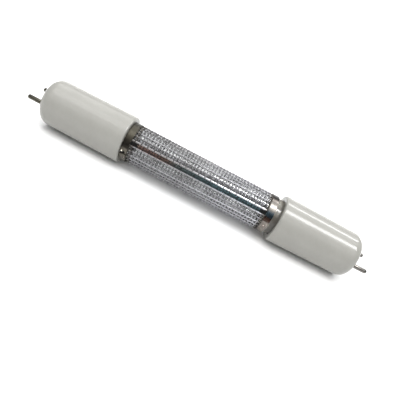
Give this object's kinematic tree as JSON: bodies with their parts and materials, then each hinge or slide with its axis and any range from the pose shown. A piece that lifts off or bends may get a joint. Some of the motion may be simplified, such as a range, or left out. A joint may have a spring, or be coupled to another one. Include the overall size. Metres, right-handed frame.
{
  "type": "germicidal uv lamp",
  "caption": "Clear quartz ultraviolet lamp with two-pin end caps and a slit woven wire mesh sleeve held round the glass by metal straps.",
  "frame": {"origin": "middle of the lamp, on its axis, halfway between the two caps", "axes": "+X along the lamp to the cap beside the bare ring of glass; the two pins of each cap lie level along Y; the slit of the mesh faces between -Y and +Z"},
  "size_m": [0.1926, 0.0254, 0.0254],
  "materials": {
    "quartz": "clear polished",
    "cap": "glossy off-white",
    "pin": "plated, lightly worn",
    "mesh": "bright woven wire",
    "strap": "bright sheet with brown heat tint",
    "tungsten": "drawn wire",
    "lead": "drawn wire",
    "cement": "matt",
    "amalgam": "bright bead"
  },
  "bodies": {
    "root": {"quartz_envelope": "quartz", "end_cap_left": "cap", "end_cap_right": "cap", "contact_pin_left_front": "pin", "contact_pin_left_back": "pin", "contact_pin_right_front": "pin", "contact_pin_right_back": "pin", "mesh_sleeve": "mesh", "strap_band_left": "strap", "strap_band_right": "strap", "filament_left": "tungsten", "filament_right": "tungsten", "inner_lead_left_front": "lead", "inner_lead_left_back": "lead", "inner_lead_right_front": "lead", "inner_lead_right_back": "lead", "seal_foil_left_front": "lead", "seal_foil_left_back": "lead", "seal_foil_right_front": "lead", "seal_foil_right_back": "lead", "outer_lead_left_front": "lead", "outer_lead_left_back": "lead", "outer_lead_right_front": "lead", "outer_lead_right_back": "lead", "cement_ring_left": "cement", "cement_ring_right": "cement", "amalgam_pellet": "amalgam"}
  },
  "joints": []
}
